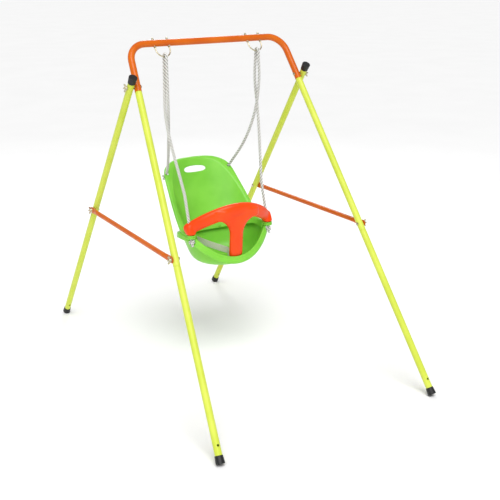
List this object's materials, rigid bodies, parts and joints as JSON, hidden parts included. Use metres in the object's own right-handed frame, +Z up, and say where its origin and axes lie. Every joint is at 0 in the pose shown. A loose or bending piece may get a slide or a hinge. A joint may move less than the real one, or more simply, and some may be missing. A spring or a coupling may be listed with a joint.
{
  "type": "swing set",
  "caption": "Steel A-frame swing set for a toddler: bent orange top bar, yellow splayed legs, side braces and a green bucket seat with an orange T-shaped guard on twisted ropes.",
  "frame": {"origin": "on the floor, midway between the front and rear feet and between the two sides", "axes": "+X along the top bar, to the right of someone facing +Y; -Y the front, where the seated child looks; +Z up"},
  "size_m": [0.9294, 1.51, 1.2564],
  "materials": {
    "orange_paint": "gloss powder coat",
    "yellow_paint": "gloss powder coat",
    "black_plastic": "moulded, slightly textured",
    "green_plastic": "blow-moulded polyethylene, satin",
    "orange_plastic": "blow-moulded polyethylene, satin",
    "rope": "three-strand twisted polypropylene rope",
    "webbing": "woven polypropylene webbing",
    "zinc_steel": "zinc plated, passivated"
  },
  "bodies": {
    "frame": {"apex_bolt_left": "zinc_steel", "apex_bolt_right": "zinc_steel", "apex_spacers": "zinc_steel", "brace_bolts": "zinc_steel", "brace_left": "orange_paint", "brace_right": "orange_paint", "foot_cap_front_left": "black_plastic", "foot_cap_front_right": "black_plastic", "foot_cap_rear_left": "black_plastic", "foot_cap_rear_right": "black_plastic", "front_leg_lower_left": "yellow_paint", "front_leg_lower_right": "yellow_paint", "front_leg_upper_left": "yellow_paint", "front_leg_upper_right": "yellow_paint", "hanger_left": "zinc_steel", "hanger_nuts": "zinc_steel", "hanger_right": "zinc_steel", "hanger_washers": "zinc_steel", "rear_leg_lower_left": "yellow_paint", "rear_leg_lower_right": "yellow_paint", "rear_leg_upper_left": "yellow_paint", "rear_leg_upper_right": "yellow_paint", "top_bar": "orange_paint", "top_cap_left": "black_plastic", "top_cap_right": "black_plastic", "washers": "zinc_steel", "wing_nuts": "zinc_steel"},
    "swing": {"backrest": "green_plastic", "buckle": "black_plastic", "crotch_strap": "webbing", "front_knots": "rope", "lap_strap": "webbing", "rear_knots": "rope", "rope_left": "rope", "rope_right": "rope", "seat_bolts": "zinc_steel", "seat_nuts": "zinc_steel", "seat_pan": "green_plastic"},
    "guard": {"guard": "orange_plastic"}
  },
  "joints": [
    {"name": "swing_hinge", "type": "hinge", "parent": "frame", "child": "swing", "pos_m": [0, 0.06202, 1.19012], "axis": [1, 0, 0], "range_deg": [-50, 50]},
    {"name": "guard_slide", "type": "slide", "parent": "swing", "child": "guard", "axis": [0, 0.2856, 0.9584], "range_m": [0, 0.09]}
  ]
}
